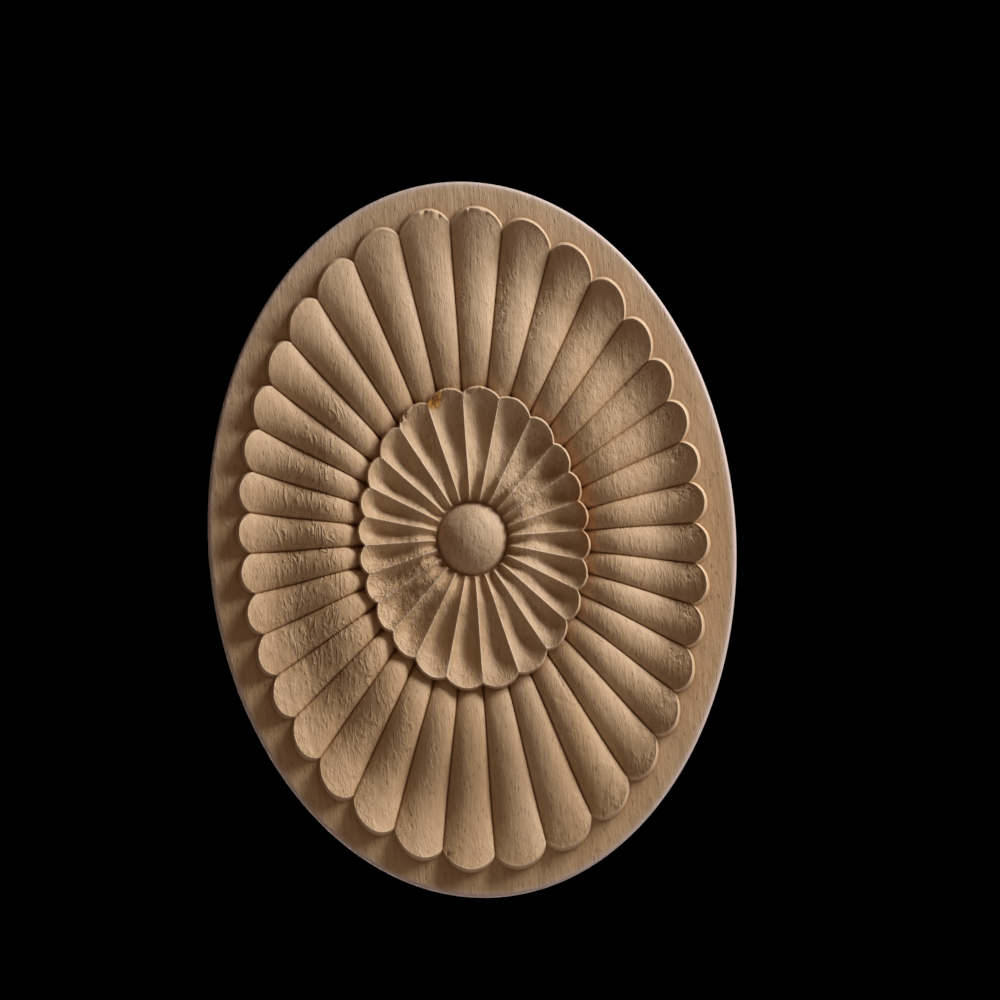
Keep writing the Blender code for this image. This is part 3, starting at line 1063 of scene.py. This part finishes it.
class ROSETTE_OT_carve(bpy.types.Operator):
    """Carve the oval rosette in place of its plain node"""

    bl_idname = "rosette.carve"
    bl_label = "Carve Rosette"

    def execute(self, context):
        sizes, finish = context.scene.rosette_sizes, context.scene.wood_finish
        half_axes = (sizes.half_width / MM, sizes.half_height / MM)
        piece = Carving(half_axes, sizes.border_thickness / MM, sizes.hand_work).build("carved_rosette")
        piece.data.materials.append(carved_wood(finish))
        piece.data.materials.append(planed_wood(finish))
        select_only(piece)
        bpy.ops.object.shade_smooth_by_angle(angle=SHARP_EDGE_ANGLE)
        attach(piece, "root")
        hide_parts("oval_rosette")
        return {"FINISHED"}


class ROSETTE_OT_set_stage(bpy.types.Operator):
    """Add the floor, the lamps, the room light and the camera"""

    bl_idname = "rosette.set_stage"
    bl_label = "Set Stage"

    def execute(self, context):
        stage = context.scene.stage_settings
        face = Vector((0.0, -context.scene.rosette_sizes.border_thickness, 0.0))
        lean = stage.camera_roll
        right = Vector((math.cos(lean), 0.0, -math.sin(lean)))
        up = Vector((math.sin(lean), 0.0, math.cos(lean)))
        forward = Vector((0.0, -1.0, 0.0))

        # camera
        toward = forward - right * math.tan(stage.camera_left) - up * math.tan(stage.camera_below)
        toward.normalize()
        aside, above = stage.off_centre
        aim = face + right * aside + up * above
        camera_place = aim + toward * stage.camera_distance
        bpy.ops.object.camera_add(location=camera_place)
        camera = bpy.context.object
        camera.name = "photo_camera"
        side = up.cross(toward).normalized()
        camera.matrix_world = facing(camera_place, side, toward.cross(side), toward)
        camera.data.sensor_width = SENSOR_WIDTH
        camera.data.lens = SENSOR_WIDTH * stage.camera_distance / stage.frame_width
        camera.data.clip_start, camera.data.clip_end = 0.05, 20.0
        context.scene.camera = camera

        # key light
        away = (
            (right * math.cos(stage.key_turn) + up * math.sin(stage.key_turn)) * math.cos(stage.key_lift)
            + forward * math.sin(stage.key_lift)
        )
        place = face + away * stage.key_distance
        bpy.ops.object.light_add(type="AREA", location=place)
        key = bpy.context.object
        key.name = "key_panel"
        key.data.shape = "RECTANGLE"
        key.data.size, key.data.size_y = stage.key_width, stage.key_height
        key.data.energy = stage.key_power
        key.data.color = stage.key_colour
        upright = forward - away * forward.dot(away)
        upright.normalize()
        key.matrix_world = facing(place, upright.cross(away), upright, away)

        # soft panel behind
        towards_front = (math.radians(90), 0.0, 0.0)
        bpy.ops.object.light_add(type="AREA", location=stage.back_place, rotation=towards_front)
        panel = bpy.context.object
        panel.name = "back_panel"
        panel.data.shape = "SQUARE"
        panel.data.size = stage.back_size
        panel.data.energy = stage.back_power
        panel.data.color = stage.back_colour

        # room light, stronger from the right, and a black backdrop for the camera
        world = bpy.data.worlds.new("room")
        world.use_nodes = True
        context.scene.world = world
        tree = world.node_tree
        way = put(tree, "ShaderNodeTexCoord").outputs["Generated"]
        sideways = put(tree, "ShaderNodeSeparateXYZ", {"Vector": way}).outputs["X"]
        extra = calc(tree, "MULTIPLY", sideways, stage.room_light * stage.room_lean)
        room = tree.nodes["Background"]
        room.inputs["Color"].default_value = stage.room_colour
        tree.links.new(calc(tree, "ADD", extra, stage.room_light), room.inputs["Strength"])
        backdrop = put(tree, "ShaderNodeBackground", {"Color": (0.0, 0.0, 0.0, 1.0)})
        seen = put(tree, "ShaderNodeLightPath").outputs["Is Camera Ray"]
        mix = put(tree, "ShaderNodeMixShader", {"Fac": seen, 1: room.outputs[0], 2: backdrop.outputs[0]})
        tree.links.new(mix.outputs["Shader"], tree.nodes["World Output"].inputs["Surface"])

        # floor
        bpy.ops.mesh.primitive_plane_add(size=FLOOR_SIZE, location=(0.0, 0.0, CAD_LOW.z - FLOOR_DROP))
        floor = bpy.context.object
        floor.name = "floor"
        floor.data.materials.append(pale_floor())

        context.scene.view_settings.view_transform = "Standard"
        return {"FINISHED"}


class ROSETTE_PT_panel(bpy.types.Panel):
    """Sizes, colours and steps of the carved rosette"""

    bl_idname = "ROSETTE_PT_panel"
    bl_label = "Carved Rosette"
    bl_space_type = "VIEW_3D"
    bl_region_type = "UI"
    bl_category = "Rosette"

    def draw(self, context):
        layout = self.layout
        for operator, settings in (
            (ROSETTE_OT_carve, ("rosette_sizes", "wood_finish")),
            (ROSETTE_OT_set_stage, ("stage_settings",)),
        ):
            box = layout.box()
            for name in settings:
                group = getattr(context.scene, name)
                for value in group.__annotations__:
                    box.prop(group, value)
            box.operator(operator.bl_idname)


CLASSES = (RosetteSizes, WoodFinish, StageSettings, ROSETTE_OT_carve, ROSETTE_OT_set_stage, ROSETTE_PT_panel)


def register():
    for cls in CLASSES:
        bpy.utils.register_class(cls)
    bpy.types.Scene.rosette_sizes = bpy.props.PointerProperty(type=RosetteSizes)
    bpy.types.Scene.wood_finish = bpy.props.PointerProperty(type=WoodFinish)
    bpy.types.Scene.stage_settings = bpy.props.PointerProperty(type=StageSettings)


def unregister():
    del bpy.types.Scene.stage_settings, bpy.types.Scene.wood_finish, bpy.types.Scene.rosette_sizes
    for cls in reversed(CLASSES):
        bpy.utils.unregister_class(cls)


def main():
    register()
    bpy.ops.rosette.carve()
    bpy.ops.rosette.set_stage()


if __name__ == "__main__":
    main()
